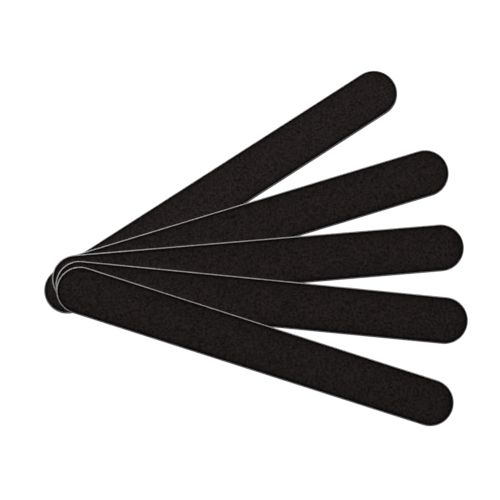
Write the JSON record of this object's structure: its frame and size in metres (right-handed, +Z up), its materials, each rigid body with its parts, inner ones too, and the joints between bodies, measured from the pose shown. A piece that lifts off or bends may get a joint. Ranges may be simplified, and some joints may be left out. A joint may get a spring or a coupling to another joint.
{
  "type": "emery board set",
  "caption": "Loose straight emery boards with round ends, laid in a fan. Each has a stiff white core, foam pads and black abrasive faces that file nails.",
  "frame": {"origin": "centre of the bottom board's round tail, on its underside, which lies on the table", "axes": "+X along the fan from the tails towards the tips, +Y towards the side where the bottom board points, +Z up"},
  "size_m": [0.1824, 0.1549, 0.0179],
  "materials": {
    "black_grit": "matte",
    "backing_paper": "matte",
    "glue_film": "satin",
    "white_foam": "matte",
    "white_core": "satin"
  },
  "bodies": {
    "board_1": {"board_1_lower_grit": "black_grit", "board_1_lower_paper": "backing_paper", "board_1_lower_glue": "glue_film", "board_1_lower_foam": "white_foam", "board_1_core": "white_core", "board_1_upper_foam": "white_foam", "board_1_upper_glue": "glue_film", "board_1_upper_paper": "backing_paper", "board_1_upper_grit": "black_grit"},
    "board_2": {"board_2_lower_grit": "black_grit", "board_2_lower_paper": "backing_paper", "board_2_lower_glue": "glue_film", "board_2_lower_foam": "white_foam", "board_2_core": "white_core", "board_2_upper_foam": "white_foam", "board_2_upper_glue": "glue_film", "board_2_upper_paper": "backing_paper", "board_2_upper_grit": "black_grit"},
    "board_3": {"board_3_lower_grit": "black_grit", "board_3_lower_paper": "backing_paper", "board_3_lower_glue": "glue_film", "board_3_lower_foam": "white_foam", "board_3_core": "white_core", "board_3_upper_foam": "white_foam", "board_3_upper_glue": "glue_film", "board_3_upper_paper": "backing_paper", "board_3_upper_grit": "black_grit"},
    "board_4": {"board_4_lower_grit": "black_grit", "board_4_lower_paper": "backing_paper", "board_4_lower_glue": "glue_film", "board_4_lower_foam": "white_foam", "board_4_core": "white_core", "board_4_upper_foam": "white_foam", "board_4_upper_glue": "glue_film", "board_4_upper_paper": "backing_paper", "board_4_upper_grit": "black_grit"},
    "board_5": {"board_5_lower_grit": "black_grit", "board_5_lower_paper": "backing_paper", "board_5_lower_glue": "glue_film", "board_5_lower_foam": "white_foam", "board_5_core": "white_core", "board_5_upper_foam": "white_foam", "board_5_upper_glue": "glue_film", "board_5_upper_paper": "backing_paper", "board_5_upper_grit": "black_grit"}
  },
  "joints": [
    {"name": "board_2_lift", "type": "slide", "parent": "board_1", "child": "board_2", "axis": [0, 0, 1], "range_m": [0, 0.03]},
    {"name": "board_3_lift", "type": "slide", "parent": "board_2", "child": "board_3", "axis": [0, 0, 1], "range_m": [0, 0.03]},
    {"name": "board_4_lift", "type": "slide", "parent": "board_3", "child": "board_4", "axis": [0, 0, 1], "range_m": [0, 0.03]},
    {"name": "board_5_lift", "type": "slide", "parent": "board_4", "child": "board_5", "axis": [0, 0, 1], "range_m": [0, 0.03]}
  ]
}
